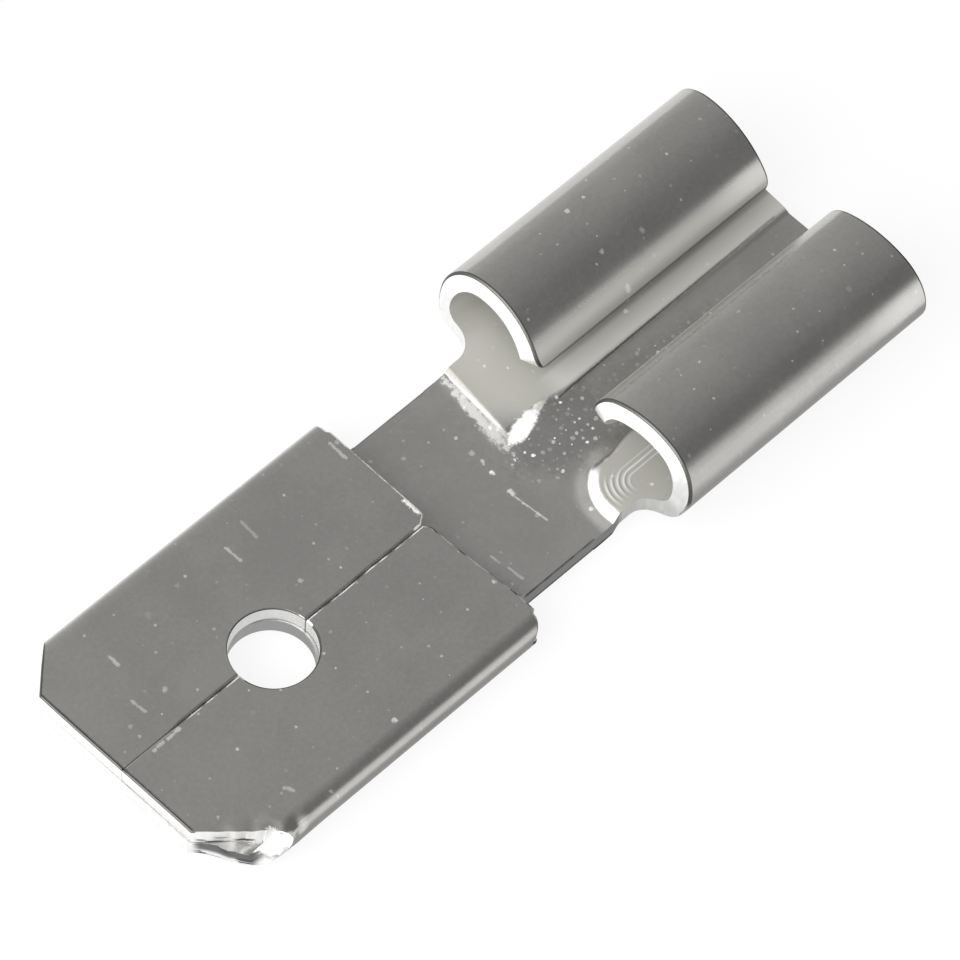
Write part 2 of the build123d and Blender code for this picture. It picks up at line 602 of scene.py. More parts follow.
@dataclass(frozen=True)
class Neck:
    """The flat strip between the receptacle and the blade, with the ramps of the wings."""

    start: float = 8.1
    half_width: float = 2.35
    ramp_start: float = 10.3
    ramp_rows: int = 14
    rows: int = 14
    fade_width: float = 0.6
    left: Ramp = Ramp(StraightCrease(10.68, 0.09), 0.3, 0.1, 0.1, 0.36, 1.5)
    right: Ramp = Ramp(RoundCrease(11.88, 2.12, 1.08), 0.3, 0.08, 0.21, 0.84, 0.5)

    def form(self, bench: Bench, receptacle: Receptacle) -> None:
        """Draw the neck out of the receptacle's floor and press its ramps down.

        Args:
            bench: The bench that holds the receptacle.
            receptacle: The receptacle, for where its floor starts.
        """
        floor_top = 0.6
        bench.select(
            Take.RIM,
            lambda p: abs(p.x - receptacle.start) < ON_LINE
            and abs(p.y) < self.half_width
            and p.z < floor_top,
        )
        bench.extrude(Vector((self.ramp_start - receptacle.start, 0, 0)), self.ramp_rows)
        bench.extrude(Vector((self.start - self.ramp_start, 0, 0)), self.rows)
        in_ramp = Vector((self.ramp_start, receptacle.start + 1.1, self.half_width))
        bench.refine(
            lambda p: in_ramp.x < p.x < in_ramp.y and abs(p.y) < in_ramp.z and p.z < floor_top, 2
        )

        def lower(point: Vector) -> Vector:
            if point.z > floor_top:
                return point
            ramp = self.left if point.y > 0 else self.right
            beyond = abs(point.y) - self.half_width
            lack = 1 - ramp.lift(point.x, min(abs(point.y), self.half_width))
            if beyond > ON_LINE:
                lack *= 1 - smooth_step(beyond, 0, self.fade_width)
            point.z *= 1 - lack
            return point

        bench.press(lower)


@dataclass(frozen=True)
class Blade:
    """The male tab: a base layer with both edges folded over it to a seam."""

    half_width: float = 3.16
    offset: float = -0.03
    thickness: float = 0.784
    seam: float = 0.015
    seam_step: float = 0.008
    left_fullness: float = 3.2
    rows: int = 50
    left_chamfer: Point = (0.0, 2.24)
    left_slope: Point = (0.95, 0.91)
    right_chamfer: Point = (0.05, -1.86)
    right_slope: Point = (0.74, -0.68)
    left_corner_radius: float = 0.24
    right_corner_radius: float = 0.12
    rear_corner_radius: float = 0.3
    crush: float = 0.42
    chamfer_place: Point = (2.2, 1.2)
    fine_place: Point = (1.9, -1.9)
    left_snap: float = 0.04
    right_snap: float = 0.006
    crush_start: float = 2.4
    crush_depth: float = 0.6
    crumple: float = 0.045
    crumples_per_mm: float = 3.7
    crumple_seed: int = 3
    end_band: float = 1.2
    offset_band: Point = (2.4, 2.75)
    left_reach: float = 0.05
    right_reach: Point = (-0.05, 0.08)
    right_reach_band: Point = (0.2, 2.6)
    tip_step: float = 0.045
    seam_band: float = 0.5
    wander: float = 0.012
    wanders_per_mm: float = 1.3

    def form(self, bench: Bench, neck: Neck) -> None:
        """Draw the base layer out of the neck and fold its edges over.

        Args:
            bench: The bench that holds the neck.
            neck: The neck, for where the blade joins it.
        """
        bench.select(
            Take.RIM, lambda p: abs(p.x - neck.start) < ON_LINE and abs(p.y) < neck.half_width
        )
        bench.extrude(Vector((-neck.start, 0, 0)), self.rows)
        radius = self.thickness / 2
        fold_y = self.half_width - radius
        for side in Side:
            edge_y = side.value * neck.half_width
            bench.select(
                Take.RIM,
                lambda p: abs(p.y - edge_y) < ON_LINE and p.x < neck.start and p.z < radius,
            )
            folder = Folder(bench, side, (neck.half_width, 0.0))
            folder.flat(fold_y - neck.half_width)
            folder.bend(Bend(radius, 180.0))
            folder.flat(fold_y - self.seam)
        bench.press(lambda p: self.settled(p, neck.start))
        fine_x, fine_y = self.fine_place
        bench.refine(lambda p: p.x < fine_x and p.y < fine_y, 2)
        end, side_y = self.chamfer_place
        for start, slope, snap in (
            (self.left_chamfer, self.left_slope, self.left_snap),
            (self.right_chamfer, self.right_slope, self.right_snap),
        ):
            sign = math.copysign(1, start[1])
            outward = Vector((-abs(slope[1]), sign * abs(slope[0]), 0))
            at_tip = Vector((*start, 0))
            bench.cut_off(lambda p: p.x < end and p.y * sign > side_y, at_tip, outward, snap)
        noise.seed_set(self.crumple_seed)
        bench.press(self.crushed)

    def crushed(self, point: Vector) -> Vector:
        """Crush the right corner of the tip, whose lower layer is splayed out and crumpled.

        Args:
            point: A point of the cut blade.

        Returns:
            The point with the damage.
        """
        if point.x > self.crush_start or point.y > self.right_chamfer[1]:
            return point
        along = smooth_step(-point.y, -self.right_chamfer[1], 2.85)
        start = Vector(self.right_chamfer)
        inward = Vector((-self.right_slope[1], self.right_slope[0])).normalized()
        depth = (Vector((point.x, point.y)) - start).dot(inward)
        near = along * (1 - smooth_step(depth, 0, self.crush_depth))
        low = 1 - smooth_step(point.z, 0.1, self.thickness - 0.1)
        shake = noise.noise_vector(point * self.crumples_per_mm) * self.crumple * near
        point.x -= self.crush * near * low
        point += shake
        point.z = max(point.z, 0.0)
        return point

    def settled(self, point: Vector, end: float) -> Vector:
        """Bring a point of the leaves to where the folded sheet has settled.

        Args:
            point: The point on the even blade.
            end: Where the blade ends along X.

        Returns:
            The point with the seam's and the leaves' small errors.
        """
        if point.x > end + ON_LINE:
            return point
        radius = self.thickness / 2
        fold = Vector((point.y - self.half_width + radius, point.z - radius)) / radius
        if fold.x > 0:
            power = self.left_fullness
            fold /= (abs(fold.x) ** power + abs(fold.y) ** power) ** (1 / power)
            point.y = self.half_width - radius + radius * fold.x
            point.z = radius + radius * fold.y
        point.y += self.offset * smooth_step(abs(point.y), *self.offset_band)
        if point.y < 0:
            from_side = self.half_width - self.offset + point.y
            setback = rounding(from_side, self.rear_corner_radius)
            point.x -= setback * smooth_step(point.x, end - self.end_band, end)
        if point.z < self.thickness - ON_LINE:
            return point
        from_seam = abs(point.y) - self.seam
        if point.y > 0:
            reach = self.left_reach - rounding(from_seam, self.left_corner_radius)
        else:
            least, most = self.right_reach
            reach = (most - least) * smooth_step(-point.y, *self.right_reach_band) + least
            reach -= rounding(from_seam, self.right_corner_radius)
        point.x += reach * smooth_step(point.x, end - self.end_band, end)
        if point.y < 0:
            point.z += self.seam_step * (1 - from_seam / self.half_width)
        at_tip = 1 - smooth_step(point.x, 0, self.end_band)
        point.x += self.tip_step * at_tip * smooth_step(-point.y, -2, 2)
        near = 1 - smooth_step(from_seam, 0, self.seam_band)
        wander = noise.noise(Vector((point.x * self.wanders_per_mm, 7, 0)))
        closing = (1 - smooth_step(point.x, 0.8, 2)) * math.copysign(1, -point.y)
        point.y += near * self.wander * (wander + closing)
        return point


@dataclass(frozen=True)
class Hole:
    """The round hole through both layers of the blade."""

    x: float = 3.9
    y: float = -0.01
    radius: float = 0.868
    corners: int = 96
    leaf_shift: Point = (0.04, -0.02)
    rim_radius: float = 0.045
    rim_rows: int = 3
    overshoot: float = 0.003
    leaf_clearance: float = 0.012
    waste: float = 0.3

    def punch(self, bench: Bench, blade: Blade, sheet: float) -> None:
        """Cut the hole down through the base layer, and a slightly wider one up through the leaves.

        Args:
            bench: The bench that holds the thick sheet, out of edit mode.
            blade: The blade, for its thickness.
            sheet: The thickness of the sheet.
        """
        middle = sheet + 0.002
        top = blade.thickness + blade.seam_step * 0.7
        shift_x, shift_y = self.leaf_shift
        wider = self.radius + self.leaf_clearance
        self.cut(bench, self.x, self.y, self.radius, (middle, 0.0))
        self.cut(bench, self.x + shift_x, self.y + shift_y, wider, (middle, top))

    def cut(self, bench: Bench, x: float, y: float, radius: float, way: Point) -> None:
        """Cut one round hole whose rim is rounded at its far end.

        Args:
            bench: The bench that holds the thick sheet, out of edit mode.
            x: The middle of the hole along the blade.
            y: The middle of the hole across the blade.
            radius: The radius of the hole.
            way: The heights that the hole goes from and to.
        """
        start, end = way
        sign = math.copysign(1, end - start)
        end += sign * self.overshoot
        rings = [(radius, end - sign * self.rim_radius)]
        for row in range(1, self.rim_rows + 1):
            angle = math.pi / 2 * row / self.rim_rows
            flare = self.rim_radius * (1 - math.cos(angle))
            rings.append((radius + flare, end - sign * self.rim_radius * (1 - math.sin(angle))))
        rings.append((radius + self.rim_radius, end + sign * self.waste))
        bpy.ops.mesh.primitive_circle_add(
            vertices=self.corners, radius=radius, fill_type="NGON", location=(x, y, start)
        )
        punch = bpy.context.object
        for _ in Slot:
            punch.data.materials.append(None)
        bpy.ops.object.mode_set(mode="EDIT")
        last_radius, last_z = radius, start
        for ring_radius, z in rings:
            bpy.ops.mesh.extrude_region_move(
                TRANSFORM_OT_translate={"value": (0, 0, z - last_z)}
            )
            share = ring_radius / last_radius
            bpy.ops.transform.resize(value=(share, share, 1))
            last_radius, last_z = ring_radius, z
        bpy.ops.mesh.select_all(action="SELECT")
        bpy.ops.mesh.normals_make_consistent(inside=False)
        bpy.ops.object.mode_set(mode="OBJECT")
        flare_start = abs(end - start) - self.rim_radius
        for face in punch.data.polygons:
            on_rim = abs(face.center.z) > flare_start
            face.material_index = (Slot.ROUND if on_rim else Slot.CUT).value
        bench.take_up()
        bench.finish_with("BOOLEAN", operation="DIFFERENCE", solver="EXACT", object=punch)
        bench.put_in_order()
        bpy.data.objects.remove(punch)


@dataclass
class Terminal:
    """The whole terminal, one sheet that carries every sub-assembly."""

    sheet: float = 0.39
    front_band: Point = (-0.2, 1.4)
    slant_rise: Point = (0.6, 1.1)
    outer_setback: float = 0.06
    inner_reach: float = -0.04
    ramp_band: Point = (-0.3, 1.3)
    ramp_fade: float = 0.8
    ramp_top: float = 0.62
    crease_height: float = 0.3
    fold_end: float = 0.2
    leaf_end: float = 0.3
    sharp_corner: Point = (2.2, 0.05)
    sharp_tip: float = 4.0
    neck_edge: float = 0.1
    roll_foot: float = 0.7
    roll_rounding: float = 0.05
    blade_rounding: float = 0.055
    neck_rounding: float = 0.03
    receptacle: Receptacle = field(default_factory=Receptacle)
    neck: Neck = field(default_factory=Neck)
    blade: Blade = field(default_factory=Blade)
    hole: Hole = field(default_factory=Hole)

    def build(self) -> bpy.types.Object:
        """Model the terminal.

        Returns:
            The finished piece, in metres.
        """
        bench = Bench("terminal_sheet")
        self.receptacle.form(bench, self.neck.half_width)
        self.neck.form(bench, self.receptacle)
        self.blade.form(bench, self.neck)
        bench.put_in_order()
        bpy.ops.mesh.select_all(action="SELECT")
        bpy.ops.mesh.remove_doubles(threshold=ON_LINE)
        self.face_outward(bench)
        bpy.ops.object.mode_set(mode="OBJECT")
        for _ in Slot:
            bench.piece.data.materials.append(None)
        bench.take_up()
        count = len(bench.piece.data.vertices)
        bench.finish_with(
            "SOLIDIFY",
            thickness=self.sheet,
            offset=-1,
            use_even_offset=True,
            use_quality_normals=True,
            material_offset=Slot.INSIDE.value,
            material_offset_rim=Slot.CUT.value,
        )
        self.mend_bends(bench.piece.data.vertices, count)
        self.raise_ramps(bench.piece.data.vertices, count)
        bpy.ops.object.mode_set(mode="EDIT")
        bpy.ops.mesh.select_all(action="SELECT")
        bpy.ops.mesh.remove_doubles(threshold=ON_LINE)
        self.slant_fronts(bench)
        self.round_edges(bench)
        bpy.ops.object.mode_set(mode="OBJECT")
        self.hole.punch(bench, self.blade, self.sheet)
        bpy.ops.object.shade_smooth_by_angle(angle=SMOOTH_ANGLE)
        bench.finish_with("WEIGHTED_NORMAL", keep_sharp=True, weight=60)
        bench.piece.scale = (MM, MM, MM)
        bpy.ops.object.transform_apply(location=False, rotation=False, scale=True)
        return bench.piece

    def mend_bends(self, points: bpy.types.MeshVertices, count: int) -> None:
        """Bring the inside of bends tighter than the sheet's thickness to one line.

        Args:
            points: The points of the thick sheet, first the outside's and then the inside's.
            count: How many points each side of the sheet has.
        """
        fold_z = self.blade.thickness / 2
        fold_y = self.blade.half_width - fold_z
        for outer, inner in zip(points[:count], points[count : 2 * count]):
            at = outer.co
            if at.x > self.neck.ramp_start and at.z < self.crease_height:
                roll = self.receptacle.left if at.y > 0 else self.receptacle.right
                inner.co = roll.crease_top(at, inner.co, self.sheet)
                continue
            side = math.copysign(1, at.y)
            middle = side * fold_y + self.blade.offset
            in_fold = side * (at.y - middle) > ON_LINE
            if in_fold and at.x < self.neck.start + self.fold_end:
                gap = fold_z - self.sheet
                inner.co.y = middle
                inner.co.z = fold_z + gap * (at.z - fold_z) / fold_z

    def raise_ramps(self, points: bpy.types.MeshVertices, count: int) -> None:
        """Put the top face of the ramps straight above the bottom one, as pressing does.

        Args:
            points: The points of the thick sheet, first the outside's and then the inside's.
            count: How many points each side of the sheet has.
        """
        start = self.neck.ramp_start + self.ramp_band[0]
        end = self.receptacle.start + self.ramp_band[1]
        side = self.neck.half_width
        for outer, inner in zip(points[:count], points[count : 2 * count]):
            at = outer.co
            if start < at.x < end and at.z < self.ramp_top:
                share = 1 - smooth_step(at.x, end - self.ramp_fade, end)
                share *= 1 - smooth_step(abs(at.y), side, side + self.neck.fade_width)
                inner.co = inner.co.lerp(at + Vector((0, 0, self.sheet)), share)

    def slant_fronts(self, bench: Bench) -> None:
        """Slant the front edges of the rolls, whose outer face stands further back.

        Args:
            bench: The bench in edit mode with the whole thick sheet.
        """
        shape = bmesh.from_edit_mesh(bench.piece.data)
        start, end = (self.receptacle.front + reach for reach in self.front_band)
        for point in shape.verts:
            slots = {face.material_index for face in point.link_faces}
            if Slot.CUT.value not in slots or not start < point.co.x < end:
                continue
            share = smooth_step(point.co.z, *self.slant_rise)
            outer = Slot.FACE.value in slots
            point.co.x += share * (self.outer_setback if outer else self.inner_reach)
        bmesh.update_edit_mesh(bench.piece.data)

    def round_edges(self, bench: Bench) -> None:
        """Round the sheared edges off, all but the crushed corner's and the neck's inner ones.

        Args:
            bench: The bench in edit mode with the whole thick sheet.
        """
        blade_end = self.neck.start + self.leaf_end
        crushed_x, inside = self.sharp_corner
        crushed_y = self.blade.right_chamfer[1] - inside
        neck_edge = self.neck.half_width - self.neck_edge
        bench.round_off(
            lambda p: p.x < blade_end
            and not (p.x < crushed_x and p.y < crushed_y)
            and not (p.x < self.sharp_tip and p.z < self.sheet / 2),
            Slot.FACE,
            self.blade_rounding,
        )
        for face in (Slot.INSIDE, Slot.FACE):
            bench.round_off(
                lambda p: blade_end < p.x < self.neck.ramp_start and abs(p.y) > neck_edge,
                face,
                self.neck_rounding,
            )
        bench.round_off(
            lambda p: p.x > self.receptacle.start and p.z > self.roll_foot,
            Slot.FACE,
            self.roll_rounding,
        )

    def face_outward(self, bench: Bench) -> None:
        """Turn the sheet's outside face out, which is down on the neck.

        Args:
            bench: The bench in edit mode with the whole sheet selected.
        """
        bpy.ops.mesh.normals_make_consistent(inside=False)
        shape = bmesh.from_edit_mesh(bench.piece.data)
        middle = (self.neck.start + self.neck.ramp_start) / 2
        on_neck = [f for f in shape.faces if abs(f.calc_center_median().x - middle) < 0.3]
        if sum(face.normal.z for face in on_neck) > 0:
            bpy.ops.mesh.flip_normals()


class Value:
    """A socket with arithmetic: an expression on values adds its Math nodes."""

    def __init__(self, graph: "Graph", socket: bpy.types.NodeSocket) -> None:
        """Wrap the output socket of a node in a graph."""
        self.graph = graph
        self.socket = socket

    def math(self, operation: str, *others: "Operand") -> "Value":
        """Add a Math node that works on this value and others."""
        inputs = dict(enumerate((self, *others)))
        return self.graph.value("ShaderNodeMath", {"operation": operation}, inputs)

    def __add__(self, other: "Operand") -> "Value":
        """Add."""
        return self.math("ADD", other)

    def __radd__(self, other: "Operand") -> "Value":
        """Add to a number."""
        return self.math("ADD", other)

    def __sub__(self, other: "Operand") -> "Value":
        """Subtract."""
        return self.math("SUBTRACT", other)

    def __rsub__(self, other: "Operand") -> "Value":
        """Subtract from a number."""
        return self.graph.value("ShaderNodeMath", {"operation": "SUBTRACT"}, {0: other, 1: self})

    def __mul__(self, other: "Operand") -> "Value":
        """Multiply."""
        return self.math("MULTIPLY", other)

    def __rmul__(self, other: "Operand") -> "Value":
        """Multiply with a number."""
        return self.math("MULTIPLY", other)

    def __truediv__(self, other: "Operand") -> "Value":
        """Divide."""
        return self.math("DIVIDE", other)

    def __pow__(self, other: "Operand") -> "Value":
        """Raise to a power."""
        return self.math("POWER", other)

    def least(self, other: "Operand") -> "Value":
        """Take the smaller of two."""
        return self.math("MINIMUM", other)

    def most(self, other: "Operand") -> "Value":
        """Take the larger of two."""
        return self.math("MAXIMUM", other)

    def fade(self, low: float, high: float) -> "Value":
        """Rise softly from 0 at low to 1 at high, or fall where high is the smaller."""
        return self.graph.value(
            "ShaderNodeMapRange",
            {"interpolation_type": "SMOOTHSTEP"},
            {"Value": self, "From Min": low, "From Max": high},
        )


Operand = Union[Value, Number]


class Graph:
    """The nodes of one material or world."""

    def __init__(self, tree: bpy.types.NodeTree) -> None:
        """Empty a node tree and work in it."""
        self.tree = tree
        tree.nodes.clear()

    def node(
        self, kind: str, settings: Optional[dict[str, Any]] = None, inputs: Optional[dict] = None
    ) -> bpy.types.Node:
        """Add a node.

        Args:
            kind: The type of the node.
            settings: Its settings, with a ramp's stops under "stops".
            inputs: The values or links of its sockets, by name or number.

        Returns:
            The new node.
        """
        node = self.tree.nodes.new(kind)
        for name, setting in (settings or {}).items():
            if name == "stops":
                while len(node.color_ramp.elements) < len(setting):
                    node.color_ramp.elements.new(0.5)
                for element, (place, colour) in zip(node.color_ramp.elements, setting):
                    element.position = place
                    element.color = (*colour, 1)
            else:
                setattr(node, name, setting)
        for name, given in (inputs or {}).items():
            if isinstance(given, Value):
                self.tree.links.new(given.socket, node.inputs[name])
            elif isinstance(given, bpy.types.NodeSocket):
                self.tree.links.new(given, node.inputs[name])
            else:
                node.inputs[name].default_value = given
        return node

    def value(
        self,
        kind: str,
        settings: Optional[dict[str, Any]] = None,
        inputs: Optional[dict] = None,
        output: Union[int, str] = 0,
    ) -> Value:
        """Add a node and wrap one of its outputs."""
        return Value(self, self.node(kind, settings, inputs).outputs[output])

    def millimetres(self) -> Value:
        """The place on the object in millimetres."""
        place = self.value("ShaderNodeTexCoord", output="Object")
        return self.vector("SCALE", place, Scale=1 / MM)

    def axes(self, place: Value) -> tuple[Value, ...]:
        """Split a place into its X, Y and Z."""
        parts = self.node("ShaderNodeSeparateXYZ", None, {0: place})
        return tuple(Value(self, part) for part in parts.outputs)

    def vector(self, operation: str, *values: Any, **named: Any) -> Value:
        """Add a Vector Math node."""
        inputs = {**dict(enumerate(values)), **named}
        output = "Value" if operation in ("LENGTH", "DISTANCE", "DOT_PRODUCT") else "Vector"
        return self.value("ShaderNodeVectorMath", {"operation": operation}, inputs, output)

    def noise(self, place: Value, scale: float, detail: float = 2.0) -> Value:
        """Add a noise of this many lumps to a millimetre."""
        return self.value(
            "ShaderNodeTexNoise", None, {"Vector": place, "Scale": scale, "Detail": detail}
        )

    def mix(self, factor: Operand, one: Any, other: Any) -> Value:
        """Mix two colours."""
        return self.value(
            "ShaderNodeMix",
            {"data_type": "RGBA"},
            {0: factor, 6: self.colour(one), 7: self.colour(other)},
            2,
        )

    def finish(self, shader: bpy.types.Node, kind: str = "Material") -> None:
        """Send a shader to the output of a material or world."""
        self.node("ShaderNodeOutput" + kind, None, {0: shader.outputs[0]})

    def colour(self, given: Any) -> Any:
        """Give a plain colour its fourth number."""
        return given if isinstance(given, Value) else (*given, 1)


def new_material(name: str) -> tuple[bpy.types.Material, Graph]:
    """Start a material with an empty graph."""
    material = bpy.data.materials.new(name)
    material.use_nodes = True
    return material, Graph(material.node_tree)


@dataclass(frozen=True)
class Stroke:
    """A scratch or dent on an upward face, between two points in millimetres."""

    start: Point
    end: Point
    width: float
    strength: float = 1.0

    def mask(self, graph: Graph, plan: Value, ragged: Value) -> Value:
        """Draw the stroke.

        Args:
            graph: The graph to draw in.
            plan: The place in millimetres, flattened to the plan.
            ragged: A noise about 0 that frays the stroke.

        Returns:
            The strength on the stroke and 0 off it.
        """
        start = Vector((*self.start, 0))
        way = Vector((*self.end, 0)) - start
        local = graph.vector("SUBTRACT", plan, tuple(start))
        along = graph.vector("DOT_PRODUCT", local, tuple(way / way.length_squared))
        share = along.most(0.0).least(1.0)
        reach = graph.vector("SCALE", tuple(way), Scale=share)
        off = graph.vector("LENGTH", graph.vector("SUBTRACT", local, reach))
        edge = off + ragged * self.width * 4
        return edge.fade(self.width * 1.3, self.width * 0.4) * self.strength


@dataclass(frozen=True)
class Patch:
    """A worn patch on an upward face, an oval with a ragged edge, in millimetres."""

    centre: Point
    size: Point
    turn: float
    ragged: float
    strength: float = 1.0
    softness: float = 0.17

    def mask(self, graph: Graph, plan: Value, ragged: Value) -> Value:
        """Draw the patch.

        Args:
            graph: The graph to draw in.
            plan: The place in millimetres, flattened to the plan.
            ragged: A noise about 0 that frays the patch.

        Returns:
            The strength on the patch, falling to 0 at its edge.
        """
        local = graph.vector("SUBTRACT", plan, (*self.centre, 0))
        angle = math.radians(self.turn)
        long_way = (math.cos(angle) / self.size[0], math.sin(angle) / self.size[0], 0)
        short_way = (-math.sin(angle) / self.size[1], math.cos(angle) / self.size[1], 0)
        along = graph.vector("DOT_PRODUCT", local, long_way)
        across = graph.vector("DOT_PRODUCT", local, short_way)
        reach = (along * along + across * across) ** 0.5 + ragged * self.ragged
        return reach.fade(1 + self.softness, 1 - self.softness) * self.strength


@dataclass(frozen=True)
class Ring:
    """A worn quarter ring that follows a round crease, in millimetres."""

    centre: Point
    inner: float
    outer: float

    def radius(self, graph: Graph, plan: Value) -> Value:
        """Measure how far a place is from the ring's centre."""
        local = graph.vector("SUBTRACT", plan, (*self.centre, 0))
        x, y, _ = graph.axes(local)
        along = x.least(0.0)
        across = y.most(0.0)
        return (along * along + across * across) ** 0.5

    def mask(self, graph: Graph, plan: Value, ragged: Value) -> Value:
        """Draw the ring.

        Args:
            graph: The graph to draw in.
            plan: The place in millimetres, flattened to the plan.
            ragged: A noise about 0 that frays the ring.

        Returns:
            1 on the ring and 0 off it.
        """
        radius = self.radius(graph, plan) + ragged * 0.05
        soft = 0.03
        return radius.fade(self.inner - soft, self.inner + soft) * radius.fade(
            self.outer + soft, self.outer - soft
        )


@dataclass
class WearAndLight:
    """What wearing and painted light do to a place: how worn and highlit, how dull and shaded, how
    matt and raised it is.
    """

    rubbed_and_highlit: Operand = 0.0
    dulled_and_shaded: Operand = 0.0
    matted: Operand = 0.0
    relief: Operand = 0.0


@dataclass(frozen=True)
class TinPlate:
    """Tin plate, satin grey with specks and a fine grain, pale where it is worn and where
    highlights are painted, and darker where shade is painted.
    """

    name: str
    dull: Colour
    bright: Colour
    # The pale colour of worn places, specks and painted highlights.
    rubbed_and_highlit: Colour = (0.9, 0.895, 0.87)
    matt: Colour = (0.405, 0.397, 0.365)
    roughness: float = 0.16
    metallic: float = 1.0
    relief: float = 0.35

    def make(self) -> bpy.types.Material:
        """Make the material."""
        material, graph = new_material(self.name)
        place = graph.millimetres()
        mottle = graph.noise(place, 0.8, 5.0)
        grain = graph.noise(place, 9.0, 3.0)
        fine = graph.noise(place, 30.0, 2.0)
        ragged = grain * 0.6 + fine * 0.4 - 0.5
        wear_and_light = self.wear_and_light(graph, place, ragged)
        specks = self.specks(graph, place, ragged)
        rubbed_and_highlit = wear_and_light.rubbed_and_highlit + specks * 0.8
        rubbed_and_highlit = rubbed_and_highlit.least(1.0)
        tone = mottle * 0.5 + grain * 0.25 + fine * 0.25
        colour = graph.mix(tone.fade(0.36, 0.64), self.dull, self.bright)
        colour = graph.mix(wear_and_light.matted, colour, self.matt)
        # Darker where the plate is dull and where shade is painted.
        colour = graph.mix(wear_and_light.dulled_and_shaded, colour, tuple(0.32 * part for part in self.dull))
        # Paler where the plate is worn, on specks, and where highlights are painted.
        colour = graph.mix(rubbed_and_highlit, colour, self.rubbed_and_highlit)
        height = grain * 0.5 + fine * 0.4 + wear_and_light.relief - specks * 0.5
        bump = graph.value(
            "ShaderNodeBump",
            None,
            {"Strength": self.relief, "Distance": 0.004 * MM, "Height": height},
        )
        shader = graph.node(
            "ShaderNodeBsdfPrincipled",
            None,
            {
                "Base Color": colour,
                "Metallic": (1 - rubbed_and_highlit * 0.75) * (1 - wear_and_light.matted * 0.7) * self.metallic,
                "Roughness": rubbed_and_highlit.most(wear_and_light.matted) * 0.3 + grain * 0.06 + self.roughness,
                "Normal": bump,
            },
        )
        graph.finish(shader)
        return material

    def wear_and_light(self, graph: Graph, place: Value, ragged: Value) -> WearAndLight:
        """Say where the plate is worn and where highlights and shade are painted on it.

        Args:
            graph: The graph to draw in.
            place: The place in millimetres.
            ragged: A noise about 0 that frays the worn places.
        """
        return WearAndLight()

    def drawn(self, graph: Graph, place: Value, ragged: Value, marks: tuple) -> Value:
        """Draw a set of marks over each other on the plan.

        Args:
            graph: The graph to draw in.
            place: The place in millimetres.
            ragged: A noise about 0 that frays the marks.
            marks: The marks.

        Returns:
            The strongest mark at each place.
        """
        plan = graph.vector("MULTIPLY", place, (1, 1, 0))
        drawn: Operand = 0.0
        for mark in marks:
            drawn = mark.mask(graph, plan, ragged).most(drawn)
        return drawn

    def specks(self, graph: Graph, place: Value, ragged: Value) -> Value:
        """Scatter small pale specks of two sizes.

        Args:
            graph: The graph to draw in.
            place: The place in millimetres.
            ragged: A noise about 0 that frays the specks.

        Returns:
            The strength on a speck and 0 off it.
        """
        large = self.scatter(graph, place, ragged, 1.1, 0.06, 0.5) * 0.7
        return large.most(self.scatter(graph, place, ragged, 2.6, 0.035, 0.35) * 0.6)

    def scatter(
        self, graph: Graph, place: Value, ragged: Value, per_mm: float, size: float, bare: float
    ) -> Value:
        """Scatter frayed specks over the plan.

        Args:
            graph: The graph to draw in.
            place: The place in millimetres.
            ragged: A noise about 0 that frays the specks.
            per_mm: How many cells there are to a millimetre.
            size: The largest radius of a speck in millimetres.
            bare: The share of the cells without a speck.

        Returns:
            The strength on a speck and 0 off it.
        """
        cells = graph.node(
            "ShaderNodeTexVoronoi",
            {"voronoi_dimensions": "2D"},
            {"Vector": place, "Scale": per_mm},
        )
        parts = graph.node("ShaderNodeSeparateColor", None, {0: cells.outputs["Color"]})
        chance = Value(graph, parts.outputs[0])
        strength = Value(graph, parts.outputs[1]) ** 2.5
        radius = (chance - bare).most(0.0) * (size / (1 - bare)) + size * 0.3
        off = Value(graph, cells.outputs["Distance"]) * (1 / per_mm) + ragged * size * 3
        speck = (radius - off).fade(0.0, size * 0.6) * chance.fade(bare, bare + 0.01)
        return speck * (strength * 0.85 + 0.1)


# Scratches on the blade; the last, wider stroke is a painted highlight along the left leaf's rear
# edge near the seam.
BLADE_MARKS_AND_GLINT = (
    Stroke((4.83, 2.2), (4.84, 1.8), 0.035, 0.35),
    Stroke((5.46, 2.43), (5.43, 1.98), 0.035, 0.22),
    Stroke((1.55, 1.96), (1.55, 1.72), 0.04, 0.35),
    Stroke((1.19, 0.95), (1.21, 0.63), 0.035, 0.3),
    Stroke((1.98, -2.38), (2.06, -2.53), 0.045, 0.3),
    Stroke((7.95, 2.55), (7.93, 2.1), 0.035, 0.35),
    Stroke((1.42, -0.09), (1.12, -0.1), 0.045, 0.4),
    Stroke((1.0, -0.1), (0.76, -0.11), 0.04, 0.35),
    Stroke((8.07, 0.62), (8.07, 0.25), 0.05, 0.9),
)
BLOB_CENTRE = (1.08, -2.9, 0.5)
BLOB_RADIUS = 0.34
